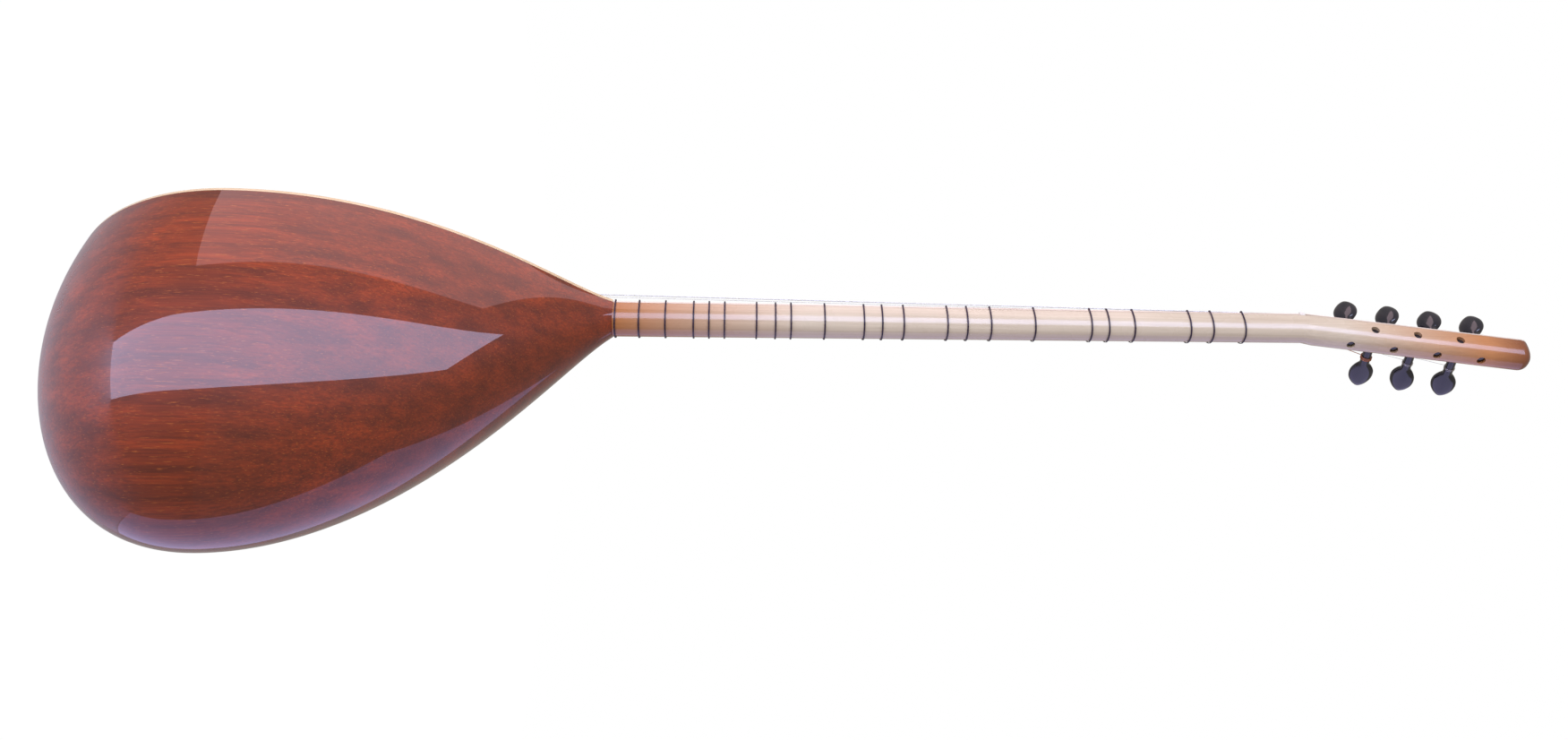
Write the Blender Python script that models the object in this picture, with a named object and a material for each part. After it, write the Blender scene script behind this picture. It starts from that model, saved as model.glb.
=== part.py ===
"""A divan saz: a long-necked lute with a carved bowl, seven pegs, seven strings and 23 tied frets.

World +Z runs up the neck to the head, the strings lie on the -Y side and the round back on the +Y side.
The origin is on the front face of the fingerboard, below the crown of the nut, where a hanger would
hold the neck. Lengths are metres.
"""

import bisect
import math

import bmesh
import bpy
from mathutils import Matrix, Vector

# Main sizes
SCALE_LENGTH = 1.04
NECK_PAST_LAST_FRET = 0.0022638
BOWL_LENGTH = 0.4855
BOWL_HALF_WIDTH = 0.1325
BOWL_DEPTH = 0.268
BOWL_WALL = 0.006
BOWL_LIP = 0.0015
NECK_END_WOOD = 0.045
CLEARANCE = 0.0003

# Pitch of each fret above the open string, in cents
FRET_CENTS = (
    102, 157, 197, 300, 349, 383, 498, 593, 646, 692, 797, 851,
    898, 1004, 1100, 1146, 1204, 1306, 1358, 1411, 1512, 1612, 1708,
)

# Shape of the bowl: where it is widest and deepest, how full its tail is and how it meets the neck
WIDEST_FROM_TAIL = 0.167
DEEPEST_FROM_TAIL = 0.167
RIM_TAIL_FULLNESS = 0.49
RIM_TAIL_SPREAD = 0.65
RIM_NECK_SPREAD = 0.545
RIM_NECK_REACH = 0.155
RIM_NECK_SLOPE = math.radians(19.8)
KEEL_TAIL_FULLNESS = 0.36
KEEL_TAIL_SPREAD = 0.71
KEEL_NECK_SPREAD = 0.49
KEEL_NECK_REACH = 0.213
KEEL_NECK_SLOPE = math.radians(43.4)
TAIL_FLAT = 0.00002
BOWL_STATIONS = 24
BOWL_SEGMENTS = 24
CAVITY_STATIONS = 18

# Sound hole in the tail, below the string holder
SOUND_HOLE_RADIUS = 0.010
SOUND_HOLE_DEPTH = 0.060

# Front: soundboard, braces and fingerboard
SOUNDBOARD_THICKNESS = 0.0035
BOARD_STRIPS = 14
BOARD_REACH = 0.9995
BRACE_THICKNESS = 0.008
BRACE_HEIGHT = 0.014
BRACE_END_HEIGHT = 0.005
BRACE_END_TAPER = 0.030
BRACES_FROM_NECK = {"brace_upper": 0.135, "brace_lower": 0.275}
FINGERBOARD_THICKNESS = 0.0025
EDGE_CHAMFER = 0.0006

# Neck
NECK_WIDTH_AT_NUT = 0.0256
NECK_WIDTH_AT_BOWL = 0.0316
NECK_DEPTH_AT_NUT = 0.0229
NECK_DEPTH_AT_BOWL = 0.0257
NECK_ROUNDNESS = 2.2
NECK_SEGMENTS = 10
TENON_WIDTH = 0.014
TENON_DEPTH = 0.013
TENON_LENGTH = 0.035
TENON_SQUARENESS = 8.0

# Head
HEAD_LENGTH = 0.2085
HEAD_WIDTH = 0.0266
HEAD_THICKNESS = 0.0234
HEAD_TILT = math.radians(9.75)
HEAD_ROUNDNESS = 2.5
HEAD_BLEND = 0.012
TIP_ROUND = 0.009
TIP_STEPS = 4
FACING_THICKNESS = 0.0020

# Pegs, measured from where each tip comes out of the head
FRONT_PEG_FIRST = 0.0449
FRONT_PEG_SPACING = 0.0395
SIDE_PEG_FIRST = 0.0656
SIDE_PEG_SPACING = 0.0387
PEG_LEAN = math.radians(5.5)
PEG_TIP_RECESS = 0.003
PEG_TIP_RADIUS = 0.0034
PEG_NECK_RADIUS = 0.0043
PEG_EXPOSED = 0.012
PEG_SEGMENTS = 14
PEG_HEAD_LENGTH = 0.0315
PEG_HEAD_HALF_WIDTH = 0.0106
PEG_HEAD_HALF_THICKNESS = 0.0046
# Along the peg's head, as shares of its length, half width and half thickness
PEG_HEAD_FORM = (
    (0.10, 0.44, 0.97),
    (0.21, 0.73, 0.98),
    (0.36, 0.95, 1.00),
    (0.54, 1.00, 0.98),
    (0.72, 0.88, 0.91),
    (0.87, 0.60, 0.78),
    (0.965, 0.28, 0.48),
    (1.00, 0.07, 0.13),
)
FRONT_PEG_TURNS = (-30.0, -34.0, -28.0, -36.0)
SIDE_PEG_TURNS = (8.0, 30.0, 24.0)

# Nut, bridge and string holder
NUT_THICKNESS = 0.0045
NUT_RISE = 0.0022
NUT_SHOULDER = 0.0006
BRIDGE_HEIGHT = 0.0090
BRIDGE_HALF_WIDTH = 0.031
BRIDGE_END_HEIGHT = 0.0040
BRIDGE_CROWN_HALF_WIDTH = 0.0265
BRIDGE_BASE_THICKNESS = 0.0060
BRIDGE_CROWN_THICKNESS = 0.0025
BRIDGE_FOOT_WIDTH = 0.010
BRIDGE_ARCH_HEIGHT = 0.0042
ARCH_STEPS = 6
HOLDER_HALF_WIDTH = 0.0205
HOLDER_RISE = 0.0025
HOLDER_DROP = 0.018
HOLDER_THICKNESS = 0.0060
HOLDER_ROWS = 5

# Strings: three in the first course and two in each of the others
STRING_GAUGES = (0.0007, 0.0003, 0.0003, 0.0004, 0.0004, 0.00035, 0.0008)
COURSE_OF_STRING = (0, 0, 0, 1, 1, 2, 2)
NUT_COURSE_CENTRES = (-0.0084, 0.0, 0.0087)
NUT_STRING_SPACING = 0.0018
BRIDGE_COURSE_CENTRES = (-0.0190, 0.0, 0.0200)
BRIDGE_STRING_SPACING = 0.0030
HOLDER_STRING_SPACING = 0.0050
NOTCH_DEPTH = 0.0006
STRING_BALL_RADIUS = 0.0012
STRING_BALL_DROP = 0.0095
WINDING_TURNS = 3
WINDING_POINTS = 24
WINDING_GAP = 0.0006
FRONT_WINDING_FROM_HEAD = 0.0062
SIDE_WINDING_FROM_HEAD = 0.0100
EDGE_CROSSING_SHARE = 0.30

# Tied frets
FRET_DIAMETER = 0.0012
FRET_KNOT_SWELL = 1.8
FRET_KNOT_OUT = 0.0006

SMOOTH_ANGLE = math.radians(38)


def fret_place(cents):
    """Where a fret of a given pitch lies on a string of the scale's length."""
    return -SCALE_LENGTH * (1 - 2 ** (-cents / 1200))


NECK_LENGTH = NECK_PAST_LAST_FRET - fret_place(FRET_CENTS[-1])
JOINT_Z = -NECK_LENGTH
TAIL_Z = JOINT_Z - BOWL_LENGTH
RIM_Y = SOUNDBOARD_THICKNESS + CLEARANCE
NECK_FRONT_Y = FINGERBOARD_THICKNESS + CLEARANCE
HEAD_FRONT_Y = FACING_THICKNESS + CLEARANCE
HEAD_ALONG = Vector((0, math.sin(HEAD_TILT), math.cos(HEAD_TILT)))
HEAD_BACKWARD = Vector((0, math.cos(HEAD_TILT), -math.sin(HEAD_TILT)))
ACROSS = Vector((1, 0, 0))


def clear_scene():
    for old in list(bpy.data.objects):
        bpy.data.objects.remove(old, do_unlink=True)


def make_material(name, colour, roughness, metallic=0.0):
    made = bpy.data.materials.new(name)
    made.use_nodes = True
    shader = made.node_tree.nodes["Principled BSDF"]
    shader.inputs["Base Color"].default_value = (*colour, 1)
    shader.inputs["Roughness"].default_value = roughness
    shader.inputs["Metallic"].default_value = metallic
    return made


def add_object(name, data, material):
    made = bpy.data.objects.new(name, data)
    if material:
        data.materials.append(material)
    bpy.context.scene.collection.objects.link(made)
    return made


def loft(name, rings, material):
    """One closed solid through rings of equal point counts, with a flat cap at each end."""
    shape = bmesh.new()
    rows = [[shape.verts.new(point) for point in ring] for ring in rings]
    count = len(rows[0])
    for row, following in zip(rows, rows[1:]):
        for i in range(count):
            j = (i + 1) % count
            shape.faces.new((row[i], row[j], following[j], following[i]))
    shape.faces.new(rows[0])
    shape.faces.new(rows[-1])
    bmesh.ops.recalc_face_normals(shape, faces=shape.faces)
    mesh = bpy.data.meshes.new(name)
    shape.to_mesh(mesh)
    shape.free()
    mesh.shade_smooth()
    mesh.set_sharp_from_angle(angle=SMOOTH_ANGLE)
    return add_object(name, mesh, material)


def tube(name, points, diameter, material, swells=None, closed=False):
    """A round cord along points. swells maps a point's number to its radius as a multiple."""
    curve = bpy.data.curves.new(name, "CURVE")
    curve.dimensions = "3D"
    curve.bevel_depth = diameter / 2
    curve.bevel_resolution = 1
    curve.use_fill_caps = True
    spline = curve.splines.new("POLY")
    spline.points.add(len(points) - 1)
    for number, point in enumerate(points):
        spline.points[number].co = (*point, 1)
        spline.points[number].radius = (swells or {}).get(number, 1.0)
    spline.use_cyclic_u = closed
    return add_object(name, curve, material)


def as_cutter(shape):
    shape.hide_render = True
    shape.display_type = "WIRE"
    return shape


def cut(shape, cutter):
    modifier = shape.modifiers.new("cut " + cutter.name, "BOOLEAN")
    modifier.operation = "DIFFERENCE"
    modifier.solver = "EXACT"
    modifier.object = cutter


def cubic(corners, steps):
    """Points of one Bezier stretch, its first point left out."""
    found = []
    for step in range(1, steps + 1):
        t = step / steps
        weights = ((1 - t) ** 3, 3 * (1 - t) ** 2 * t, 3 * (1 - t) * t**2, t**3)
        found.append(tuple(sum(w * c[axis] for w, c in zip(weights, corners)) for axis in (0, 1)))
    return found


def swell(length, full_at, full, end, tail_fullness, tail_spread, neck_spread, neck_reach, neck_slope):
    """How far the bowl stands out along its length: nothing at the tail, full at full_at, end at the neck."""
    rest = length - full_at
    reach = neck_reach * rest
    tail = ((0, 0), (0, tail_fullness * full), (full_at * (1 - tail_spread), full), (full_at, full))
    neck = (
        (full_at, full),
        (full_at + neck_spread * rest, full),
        (length - reach * math.cos(neck_slope), end + reach * math.sin(neck_slope)),
        (length, end),
    )
    return [(0.0, 0.0)] + cubic(tail, 60) + cubic(neck, 60)


def read(curve, along):
    """The height of a curve at a distance along it."""
    k = min(max(bisect.bisect_left(curve, (along,)), 1), len(curve) - 1)
    (x0, y0), (x1, y1) = curve[k - 1], curve[k]
    return y0 + (y1 - y0) * (along - x0) / (x1 - x0)


def rim_curve(inset, length, end):
    return swell(
        length, WIDEST_FROM_TAIL - inset, BOWL_HALF_WIDTH - inset, end,
        RIM_TAIL_FULLNESS, RIM_TAIL_SPREAD, RIM_NECK_SPREAD, RIM_NECK_REACH, RIM_NECK_SLOPE,
    )


def keel_curve(inset, length, end):
    return swell(
        length, DEEPEST_FROM_TAIL - inset, BOWL_DEPTH - RIM_Y - inset, end,
        KEEL_TAIL_FULLNESS, KEEL_TAIL_SPREAD, KEEL_NECK_SPREAD, KEEL_NECK_REACH, KEEL_NECK_SLOPE,
    )


CAVITY_LENGTH = BOWL_LENGTH - BOWL_WALL - NECK_END_WOOD
RIM = rim_curve(0, BOWL_LENGTH, NECK_WIDTH_AT_BOWL / 2 + BOWL_LIP)
KEEL = keel_curve(0, BOWL_LENGTH, NECK_DEPTH_AT_BOWL - RIM_Y)
CAVITY_RIM = rim_curve(BOWL_WALL, CAVITY_LENGTH, NECK_WIDTH_AT_BOWL / 2 - BOWL_WALL)
CAVITY_KEEL = keel_curve(BOWL_WALL, CAVITY_LENGTH, NECK_DEPTH_AT_BOWL / 2)


def stations(length, count):
    """Distances from the tail, close together where the bowl turns in."""
    return [TAIL_FLAT] + [length * (1 - math.cos(math.pi / 2 * k / count)) for k in range(1, count + 1)]


def half_ring(half_width, depth, front, z, roundness, segments):
    """A flat front at y = front and a round back, from +X over the back to -X."""
    points = []
    for k in range(segments + 1):
        angle = math.pi * k / segments
        c, s = math.cos(angle), max(math.sin(angle), 0.0)
        x = math.copysign(abs(c) ** (2 / roundness), c) * half_width
        points.append(Vector((x, front + (depth - front) * s ** (2 / roundness), z)))
    points[0].y = points[-1].y = front
    return points


def bowl_ring(along):
    return half_ring(read(RIM, along), RIM_Y + read(KEEL, along), RIM_Y, TAIL_Z + along, 2.0, BOWL_SEGMENTS)


def cavity_ring(along):
    """A section of the hollow, open past the rim."""
    half = read(CAVITY_RIM, along)
    z = TAIL_Z + BOWL_WALL + along
    ring = half_ring(half, RIM_Y + read(CAVITY_KEEL, along), RIM_Y, z, 2.0, BOWL_SEGMENTS)
    above = RIM_Y - BOWL_WALL
    return [Vector((half, above, z))] + ring + [Vector((-half, above, z))]


def box_rings(half_width, low_y, high_y, low_z, high_z):
    corners = ((half_width, low_y), (half_width, high_y), (-half_width, high_y), (-half_width, low_y))
    return [[Vector((x, y, z)) for x, y in corners] for z in (low_z, high_z)]


def round_rings(start, direction, stops, segments, width_way=None):
    """Rings across a straight axis. Each stop is (distance, half width, half thickness)."""
    first = (width_way or direction.orthogonal()).normalized()
    second = direction.cross(first)
    rings = []
    for distance, wide, thick in stops:
        ring = []
        for k in range(segments):
            angle = 2 * math.pi * k / segments
            ring.append(start + direction * distance + first * wide * math.cos(angle) + second * thick * math.sin(angle))
        rings.append(ring)
    return rings


def make_bowl(wood):
    bowl = loft("bowl", [bowl_ring(along) for along in stations(BOWL_LENGTH, BOWL_STATIONS)], wood)
    hollow = loft("bowl_hollow_cutter", [cavity_ring(s) for s in stations(CAVITY_LENGTH, CAVITY_STATIONS)], None)
    mortise = loft(
        "mortise_cutter",
        box_rings(
            TENON_WIDTH / 2 + CLEARANCE, RIM_Y - BOWL_WALL, RIM_Y + TENON_DEPTH + CLEARANCE,
            JOINT_Z - TENON_LENGTH - CLEARANCE, JOINT_Z + BOWL_WALL,
        ),
        None,
    )
    reach = SOUND_HOLE_DEPTH + BOWL_WALL
    hole = loft(
        "sound_hole_cutter",
        round_rings(
            Vector((0, SOUND_HOLE_DEPTH, TAIL_Z)), Vector((0, 0, 1)),
            ((-BOWL_WALL, SOUND_HOLE_RADIUS, SOUND_HOLE_RADIUS), (reach, SOUND_HOLE_RADIUS, SOUND_HOLE_RADIUS)),
            20, ACROSS,
        ),
        None,
    )
    for cutter in (hollow, mortise, hole):
        cut(bowl, as_cutter(cutter))
    return bowl


def rim_ends(x):
    """Distances from the tail at which the rim is as wide as x, towards the tail and towards the neck."""
    tail = [(half, along) for along, half in RIM if along <= WIDEST_FROM_TAIL]
    neck = [(half, along) for along, half in reversed(RIM) if along >= WIDEST_FROM_TAIL]
    far = read(neck, abs(x)) if abs(x) > neck[0][0] else BOWL_LENGTH
    return read(tail, abs(x)), min(far, BOWL_LENGTH - CLEARANCE)


def make_soundboard(wood):
    """A thin front with the outline of the bowl's rim, in strips that run with the strings."""
    rings = []
    for k in range(-BOARD_STRIPS, BOARD_STRIPS + 1):
        x = BOARD_REACH * BOWL_HALF_WIDTH * math.sin(math.pi / 2 * k / BOARD_STRIPS)
        low, high = rim_ends(x)
        corners = ((0, low), (0, high), (SOUNDBOARD_THICKNESS, high), (SOUNDBOARD_THICKNESS, low))
        rings.append([Vector((x, y, TAIL_Z + along)) for y, along in corners])
    return loft("soundboard", rings, wood)


def make_brace(name, from_neck, wood):
    """A bar across the inside of the soundboard, its ends cut down."""
    centre = BOWL_LENGTH - from_neck
    faces = (centre - BRACE_THICKNESS / 2, centre + BRACE_THICKNESS / 2)
    narrow = min(read(CAVITY_RIM, along - BOWL_WALL) for along in faces)
    depth = min(read(CAVITY_KEEL, along - BOWL_WALL) for along in faces)
    half = narrow * math.sqrt(1 - (BRACE_END_HEIGHT / depth) ** 2) - 2 * CLEARANCE
    low, high, end = RIM_Y, RIM_Y + BRACE_HEIGHT, RIM_Y + BRACE_END_HEIGHT
    inner = half - BRACE_END_TAPER
    outline = ((half, low), (half, end), (inner, high), (-inner, high), (-half, end), (-half, low))
    return loft(name, [[Vector((x, y, TAIL_Z + z)) for x, y in outline] for z in faces], wood)


def neck_half_width(z):
    share = -z / NECK_LENGTH
    return (NECK_WIDTH_AT_NUT + (NECK_WIDTH_AT_BOWL - NECK_WIDTH_AT_NUT) * share) / 2


def neck_depth(z):
    return NECK_DEPTH_AT_NUT + (NECK_DEPTH_AT_BOWL - NECK_DEPTH_AT_NUT) * -z / NECK_LENGTH


def head_inset(along):
    """How much the head has narrowed on each side near its rounded tip."""
    into = max(along - (HEAD_LENGTH - TIP_ROUND), 0.0)
    return TIP_ROUND - math.sqrt(max(TIP_ROUND**2 - into**2, 0.0))


def head_stops():
    """Distances along the head where its sections stand, closer round the tip."""
    straight = HEAD_LENGTH - TIP_ROUND
    turn = [straight + TIP_ROUND * math.sin(math.pi / 2 * 0.94 * k / TIP_STEPS) for k in range(TIP_STEPS + 1)]
    return [HEAD_BLEND] + turn


def head_point(across, back, along):
    return ACROSS * across + HEAD_BACKWARD * back + HEAD_ALONG * along


def head_ring(along):
    half = HEAD_WIDTH / 2 - head_inset(along)
    thick = HEAD_THICKNESS - head_inset(along)
    flat = half_ring(half, thick, HEAD_FRONT_Y, 0, HEAD_ROUNDNESS, NECK_SEGMENTS)
    return [head_point(p.x, p.y, along) for p in flat]


def make_neck(wood, bores):
    """Neck and head in one, with the tongue that is let into the bowl."""
    tongue = [
        half_ring(TENON_WIDTH / 2, RIM_Y + TENON_DEPTH, RIM_Y, z, TENON_SQUARENESS, NECK_SEGMENTS)
        for z in (JOINT_Z - TENON_LENGTH, JOINT_Z)
    ]
    straight = [
        half_ring(neck_half_width(z), neck_depth(z), NECK_FRONT_Y, z, NECK_ROUNDNESS, NECK_SEGMENTS)
        for z in (JOINT_Z, JOINT_Z * 0.67, JOINT_Z * 0.33)
    ]
    bend = half_ring(neck_half_width(0), neck_depth(0), NECK_FRONT_Y, 0, NECK_ROUNDNESS, NECK_SEGMENTS)
    for point in bend:
        point.z = -point.y * math.tan(HEAD_TILT / 2)
    head = [head_ring(along) for along in head_stops()]
    neck = loft("neck", tongue + straight + [bend] + head, wood)
    cut(neck, bores)
    return neck


def make_fingerboard(wood):
    rings = []
    for z in (JOINT_Z, -NUT_THICKNESS / 2 - CLEARANCE):
        half = neck_half_width(z)
        low, high = EDGE_CHAMFER, FINGERBOARD_THICKNESS
        outline = (
            (half - EDGE_CHAMFER, 0), (half, low), (half, high),
            (-half, high), (-half, low), (EDGE_CHAMFER - half, 0),
        )
        rings.append([Vector((x, y, z)) for x, y in outline])
    return loft("fingerboard", rings, wood)


def make_facing(wood, bores):
    """A thin plate on the front of the head, with the bores of the front pegs."""
    rings = []
    beside_nut = (NUT_THICKNESS / 2 + CLEARANCE) / math.cos(HEAD_TILT) + FACING_THICKNESS * math.tan(HEAD_TILT)
    for along in [beside_nut] + head_stops():
        half = HEAD_WIDTH / 2 - head_inset(along)
        low, high = EDGE_CHAMFER, FACING_THICKNESS
        outline = (
            (half - EDGE_CHAMFER, 0), (half, low), (half, high),
            (-half, high), (-half, low), (EDGE_CHAMFER - half, 0),
        )
        rings.append([head_point(x, y, along) for x, y in outline])
    facing = loft("head_facing", rings, wood)
    cut(facing, bores)
    return facing


def peg_axis(kind, number):
    """Where the tip's end of a peg's axis leaves the head, and its unit direction towards the peg's head."""
    if kind == "front":
        start = head_point(0, HEAD_THICKNESS, FRONT_PEG_FIRST + FRONT_PEG_SPACING * number)
        way = -HEAD_BACKWARD
    else:
        start = head_point(HEAD_WIDTH / 2, HEAD_THICKNESS / 2, SIDE_PEG_FIRST + SIDE_PEG_SPACING * number)
        way = -ACROSS
    return start, way * math.cos(PEG_LEAN) + HEAD_ALONG * math.sin(PEG_LEAN)


def wood_passed(kind):
    """How far a peg's axis runs inside the head."""
    return (HEAD_THICKNESS if kind == "front" else HEAD_WIDTH) / math.cos(PEG_LEAN)


def peg_radius(kind, distance):
    """Radius of the tapered shaft at a distance from where its tip comes out."""
    shaft = wood_passed(kind) + PEG_EXPOSED
    return PEG_TIP_RADIUS + (PEG_NECK_RADIUS - PEG_TIP_RADIUS) * distance / shaft


def make_bores():
    """One cutter with a tapered bore for every peg."""
    shape = bmesh.new()
    for kind, count in (("front", len(FRONT_PEG_TURNS)), ("side", len(SIDE_PEG_TURNS))):
        for number in range(count):
            start, way = peg_axis(kind, number)
            ends = (-PEG_EXPOSED, wood_passed(kind) + PEG_EXPOSED)
            radii = [peg_radius(kind, max(end, 0.0)) + CLEARANCE for end in ends]
            stops = [(end, radius, radius) for end, radius in zip(ends, radii)]
            rows = [[shape.verts.new(p) for p in ring] for ring in round_rings(start, way, stops, PEG_SEGMENTS)]
            for i in range(PEG_SEGMENTS):
                j = (i + 1) % PEG_SEGMENTS
                shape.faces.new((rows[0][i], rows[0][j], rows[1][j], rows[1][i]))
            shape.faces.new(rows[0])
            shape.faces.new(rows[1])
    bmesh.ops.recalc_face_normals(shape, faces=shape.faces)
    mesh = bpy.data.meshes.new("peg_bore_cutter")
    shape.to_mesh(mesh)
    shape.free()
    return as_cutter(add_object("peg_bore_cutter", mesh, None))


def make_peg(kind, number, turn, material):
    """A tapered shaft with a flat drop-shaped head, its origin on its own axis."""
    start, way = peg_axis(kind, number)
    shaft = wood_passed(kind) + PEG_EXPOSED
    stops = [(d, peg_radius(kind, d), peg_radius(kind, d)) for d in (PEG_TIP_RECESS, shaft)]
    for share, wide, thick in PEG_HEAD_FORM:
        stops.append((
            shaft + share * PEG_HEAD_LENGTH,
            wide * PEG_HEAD_HALF_WIDTH,
            thick * PEG_HEAD_HALF_THICKNESS,
        ))
    rings = round_rings(Vector(), Vector((0, 0, 1)), stops, PEG_SEGMENTS, ACROSS)
    peg = loft(f"{kind}_peg_{number + 1}", rings, material)
    flat_way = HEAD_ALONG - way * HEAD_ALONG.dot(way)
    flat_way = Matrix.Rotation(math.radians(turn), 3, way) @ flat_way.normalized()
    third = way.cross(flat_way)
    peg.matrix_world = Matrix.Translation(start) @ Matrix((flat_way, third, way)).transposed().to_4x4()
    return peg


def notched(places, gauges, top):
    """Points along a top edge from -X to +X, dropping into a notch under each string."""
    points = []
    for x, gauge in sorted(zip(places, gauges)):
        half = gauge / 2 + CLEARANCE
        points += [(x - half, top), (x - half, top + NOTCH_DEPTH), (x + half, top + NOTCH_DEPTH), (x + half, top)]
    return points


def spread(centres, spacing):
    """The place of each string across the instrument, course by course."""
    places = []
    for string, course in enumerate(COURSE_OF_STRING):
        mates = [s for s, c in enumerate(COURSE_OF_STRING) if c == course]
        places.append(centres[course] + spacing * (mates.index(string) - (len(mates) - 1) / 2))
    return places


NUT_PLACES = spread(NUT_COURSE_CENTRES, NUT_STRING_SPACING)
BRIDGE_PLACES = spread(BRIDGE_COURSE_CENTRES, BRIDGE_STRING_SPACING)
HOLDER_PLACES = [HOLDER_STRING_SPACING * (k - (len(STRING_GAUGES) - 1) / 2) for k in range(len(STRING_GAUGES))]


def string_y(top, gauge):
    """Height of a string's centre where it lies in a notch below top."""
    return top + NOTCH_DEPTH - CLEARANCE - gauge / 2


def make_nut(bone):
    """A notched strip across the neck, seated on the bend between neck and head."""
    half = NECK_WIDTH_AT_NUT / 2
    rings = []
    for z, top in ((-0.5, NUT_SHOULDER), (0, 0), (0.5, NUT_SHOULDER)):
        place = z * NUT_THICKNESS
        seat = NECK_FRONT_Y - CLEARANCE + max(place, 0.0) * math.tan(HEAD_TILT)
        edge = notched(NUT_PLACES, STRING_GAUGES, -NUT_RISE)
        outline = [(-half, seat), (-half, top - NUT_RISE)] + edge + [(half, top - NUT_RISE), (half, seat)]
        rings.append([Vector((x, y, place)) for x, y in outline])
    return loft("nut", rings, bone)


def arch(start, end):
    """Points of a low arch between two feet, from -X to +X."""
    middle, half = (start + end) / 2, (end - start) / 2
    points = []
    for k in range(ARCH_STEPS + 1):
        angle = math.pi * (1 - k / ARCH_STEPS)
        points.append((middle + half * math.cos(angle), -CLEARANCE - BRIDGE_ARCH_HEIGHT * math.sin(angle)))
    return points


def make_bridge(wood):
    """A low wide bridge on three feet, thin at its crown."""
    foot = BRIDGE_FOOT_WIDTH
    end = BRIDGE_HALF_WIDTH
    under = [(-end, -CLEARANCE)] + arch(foot - end, -foot / 2) + arch(foot / 2, end - foot) + [(end, -CLEARANCE)]
    crown = notched(BRIDGE_PLACES, STRING_GAUGES, -BRIDGE_HEIGHT)
    over = [(-end, -BRIDGE_END_HEIGHT), (-BRIDGE_CROWN_HALF_WIDTH, -BRIDGE_HEIGHT)] + crown
    over += [(BRIDGE_CROWN_HALF_WIDTH, -BRIDGE_HEIGHT), (end, -BRIDGE_END_HEIGHT)]
    outline = over + under[::-1]
    thinning = (BRIDGE_BASE_THICKNESS - BRIDGE_CROWN_THICKNESS) / BRIDGE_HEIGHT
    rings = []
    for side in (-0.5, 0.5):
        rings.append([
            Vector((x, y, -SCALE_LENGTH + side * (BRIDGE_BASE_THICKNESS + thinning * y))) for x, y in outline
        ])
    return loft("bridge", rings, wood)


def tail_surface(x, y):
    """Distance above the tail's end at which the bowl's outside passes through x, y."""
    down = max(y - RIM_Y, 0.0)
    low, high = 0.0, min(WIDEST_FROM_TAIL, DEEPEST_FROM_TAIL)
    for _ in range(40):
        middle = (low + high) / 2
        half, depth = max(read(RIM, middle), TAIL_FLAT), max(read(KEEL, middle), TAIL_FLAT)
        if (x / half) ** 2 + (down / depth) ** 2 > 1:
            low = middle
        else:
            high = middle
    return low


HOLDER_BACK_Z = TAIL_Z - 2 * CLEARANCE - HOLDER_THICKNESS


def make_holder(wood):
    """The string holder glued to the tail, hollowed to fit it and notched for the strings."""
    edge = notched(HOLDER_PLACES, STRING_GAUGES, -HOLDER_RISE)
    columns = [(-HOLDER_HALF_WIDTH, -HOLDER_RISE)] + edge + [(HOLDER_HALF_WIDTH, -HOLDER_RISE)]
    rings = []
    nudge = CLEARANCE / 10
    for number, (x, top) in enumerate(columns):
        # The sides of a notch lean by a hair, so that no two sections share a place.
        place = x + (nudge if number % 2 == 0 else -nudge)
        rows = [top + (HOLDER_DROP - top) * k / HOLDER_ROWS for k in range(HOLDER_ROWS + 1)]
        seat = [(y, TAIL_Z - 2 * CLEARANCE + tail_surface(place, y)) for y in rows]
        back = [(HOLDER_DROP, HOLDER_BACK_Z), (top, HOLDER_BACK_Z)]
        rings.append([Vector((place, y, z)) for y, z in seat + back])
    return loft("string_holder", rings, wood)


def unit(vector):
    return vector.normalized()


def winding(kind, number, from_head, arrive, gauge):
    """A helix round a peg's shaft from where the string arrives, working in towards the head."""
    start, way = peg_axis(kind, number)
    pitch = gauge + WINDING_GAP
    first = wood_passed(kind) + from_head
    radius = peg_radius(kind, first) + CLEARANCE + gauge / 2
    out = unit(arrive - way * arrive.dot(way))
    onward = way.cross(out)
    if onward.dot(HEAD_ALONG) < 0:
        onward = -onward
    centre = start + way * first
    points = [centre + out * radius - onward * (2 * gauge)]
    steps = WINDING_TURNS * WINDING_POINTS
    for k in range(steps + 1):
        angle = 2 * math.pi * k / WINDING_POINTS
        around = out * math.cos(angle) + onward * math.sin(angle)
        points.append(centre - way * (pitch * k / WINDING_POINTS) + around * radius)
    points.append(points[-1] + onward * gauge)
    return points


def least_gap(points, gauge):
    """The smallest space between two turns of a winding, on its points."""
    nearest = min(
        (points[i] - points[j]).length
        for i in range(len(points))
        for j in range(i + WINDING_POINTS // 2, len(points))
    )
    return nearest - gauge


def string_plan():
    """Which peg each string winds on, and from which side it arrives there."""
    front_side = -HEAD_BACKWARD
    return (
        ("side", 0, front_side), ("side", 1, front_side), ("side", 2, front_side),
        ("front", 1, -ACROSS), ("front", 0, ACROSS), ("front", 2, ACROSS), ("front", 3, ACROSS),
    )


def over_edge(nut_point, peg_point, gauge):
    """Where a string bound for a side peg crosses the front edge of the head."""
    along = peg_point.z * EDGE_CROSSING_SHARE
    lift = CLEARANCE + gauge / 2 + EDGE_CHAMFER
    return head_point(-HEAD_WIDTH / 2 - lift, -lift, along)


def beside_peg(kind, number, side, gauge, height):
    """A point where a string rubs past the winding of a nearer peg."""
    start, way = peg_axis(kind, number)
    thickest = max(STRING_GAUGES)
    reach = PEG_NECK_RADIUS + thickest + gauge / 2 + 2 * CLEARANCE
    return start + way * (wood_passed(kind) + height) + side * reach


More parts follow.
